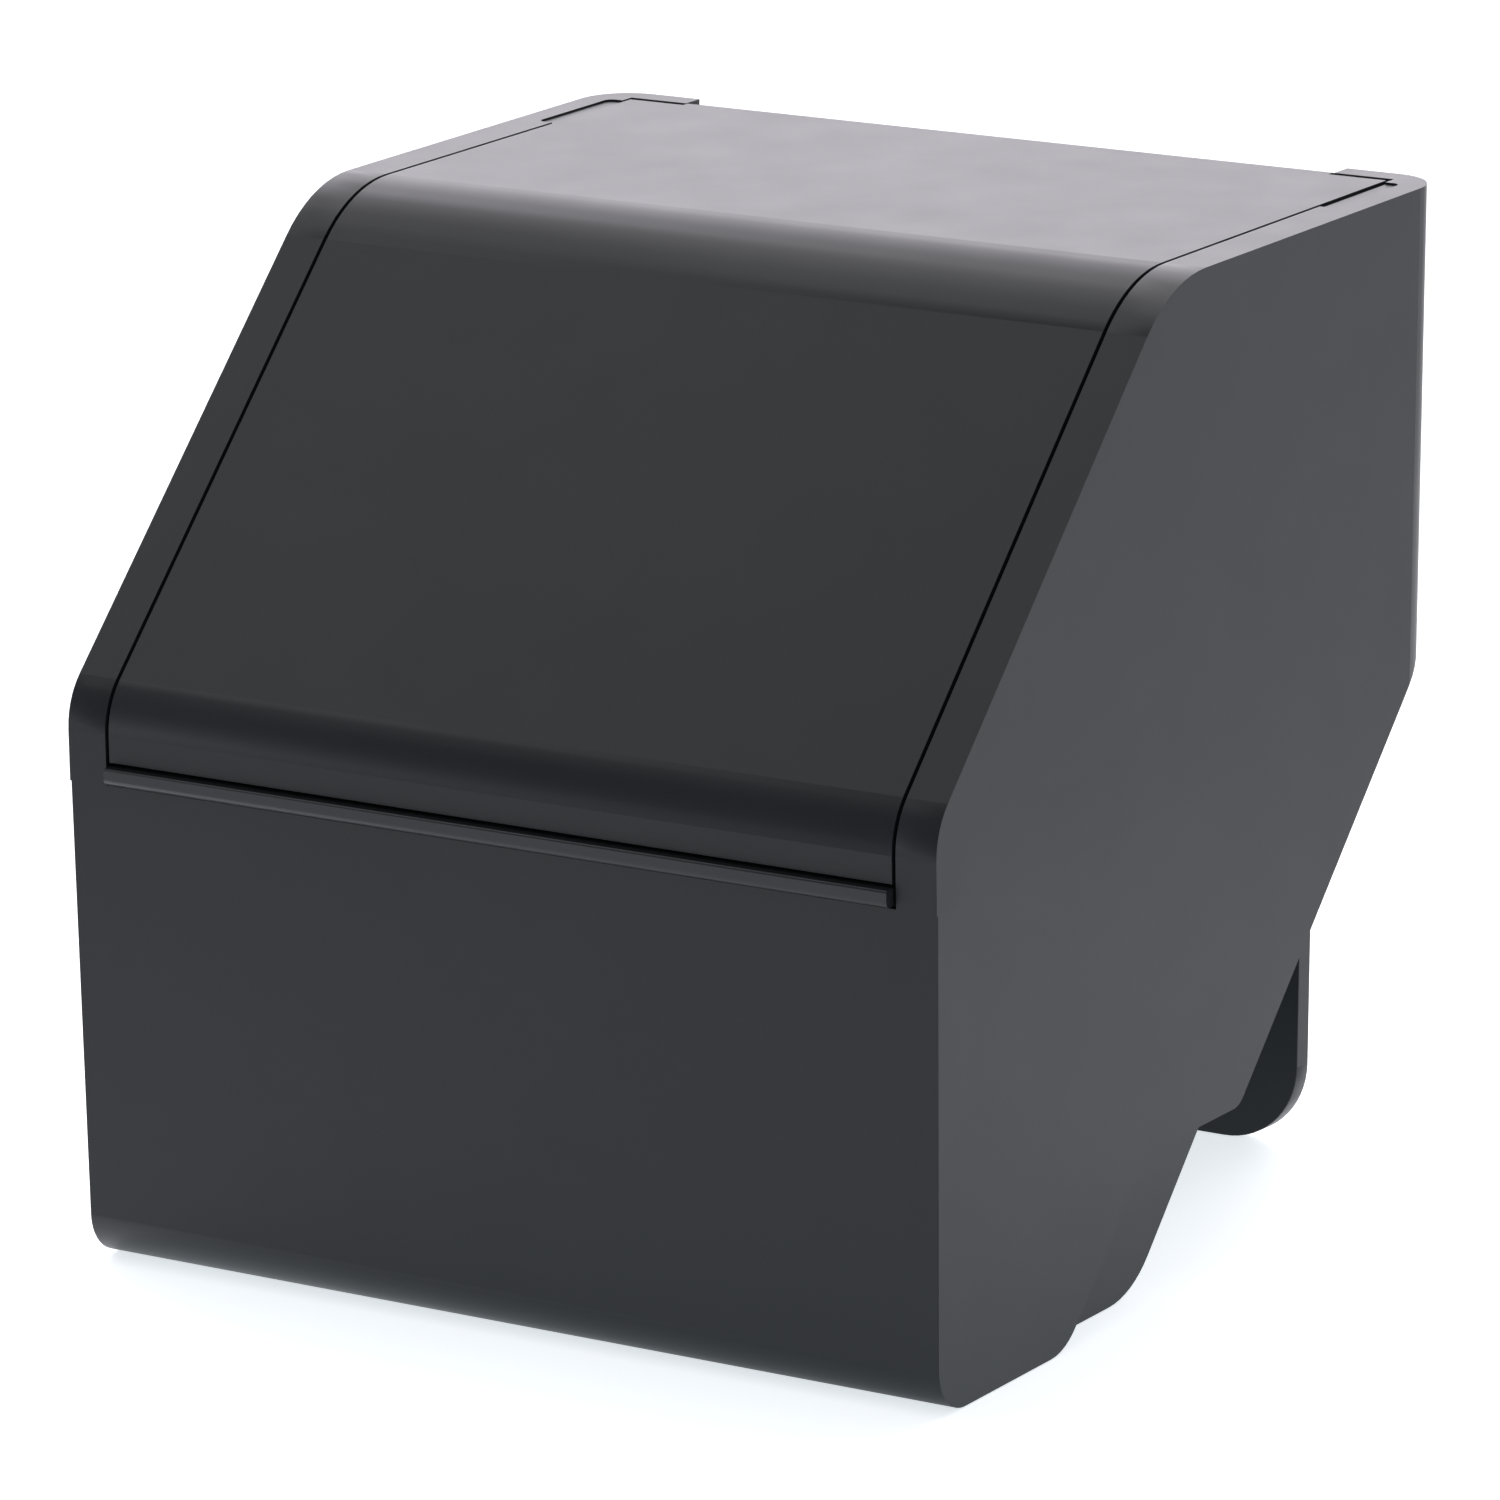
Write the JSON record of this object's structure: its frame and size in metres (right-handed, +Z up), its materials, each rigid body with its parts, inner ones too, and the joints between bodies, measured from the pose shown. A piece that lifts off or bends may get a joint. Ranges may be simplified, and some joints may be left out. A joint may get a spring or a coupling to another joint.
{
  "type": "napkin dispenser",
  "caption": "Closed box dispenser with a sloped hinged lid, a sloped napkin chute with a sliding follower, and a rear mounting plate.",
  "frame": {"origin": "centre of the bounding box in plan, on the plane that the dispenser stands on", "axes": "+Z up, +Y from the front wall to the back plate, +X to the right seen from the front"},
  "size_m": [0.19, 0.189, 0.193],
  "materials": {
    "case_plastic": "black moulded plastic, satin, fine grain",
    "inner_plastic": "charcoal moulded plastic, matt",
    "slide_plastic": "natural acetal, smooth",
    "bumper_rubber": "soft black rubber",
    "steel": "zinc plated steel",
    "weight_steel": "steel bar with thin dark coat"
  },
  "bodies": {
    "case": {"housing": "case_plastic", "hopper": "case_plastic", "throat_plate": "inner_plastic", "back_plate": "case_plastic", "hinge_rod": "steel", "lid_bumper_left": "bumper_rubber", "lid_bumper_right": "bumper_rubber", "guide_rail_left": "slide_plastic", "guide_rail_right": "slide_plastic", "hopper_screws": "steel", "back_plate_screws": "steel", "throat_screws": "steel", "rail_screws": "steel"},
    "lid": {"lid": "case_plastic", "lid_pull_bar": "case_plastic", "pull_bar_screws": "steel"},
    "follower": {"follower_plate": "inner_plastic", "follower_weight": "weight_steel", "follower_shoe_left": "slide_plastic", "follower_shoe_right": "slide_plastic", "follower_screws": "steel"}
  },
  "joints": [
    {"name": "lid_hinge", "type": "hinge", "parent": "case", "child": "lid", "pos_m": [0, 0.0919, 0.19], "axis": [-1, 0, 0], "range_deg": [0, 100]},
    {"name": "follower_slide", "type": "slide", "parent": "case", "child": "follower", "axis": [0, 0.6947, 0.7193], "range_m": [0, 0.07]}
  ]
}
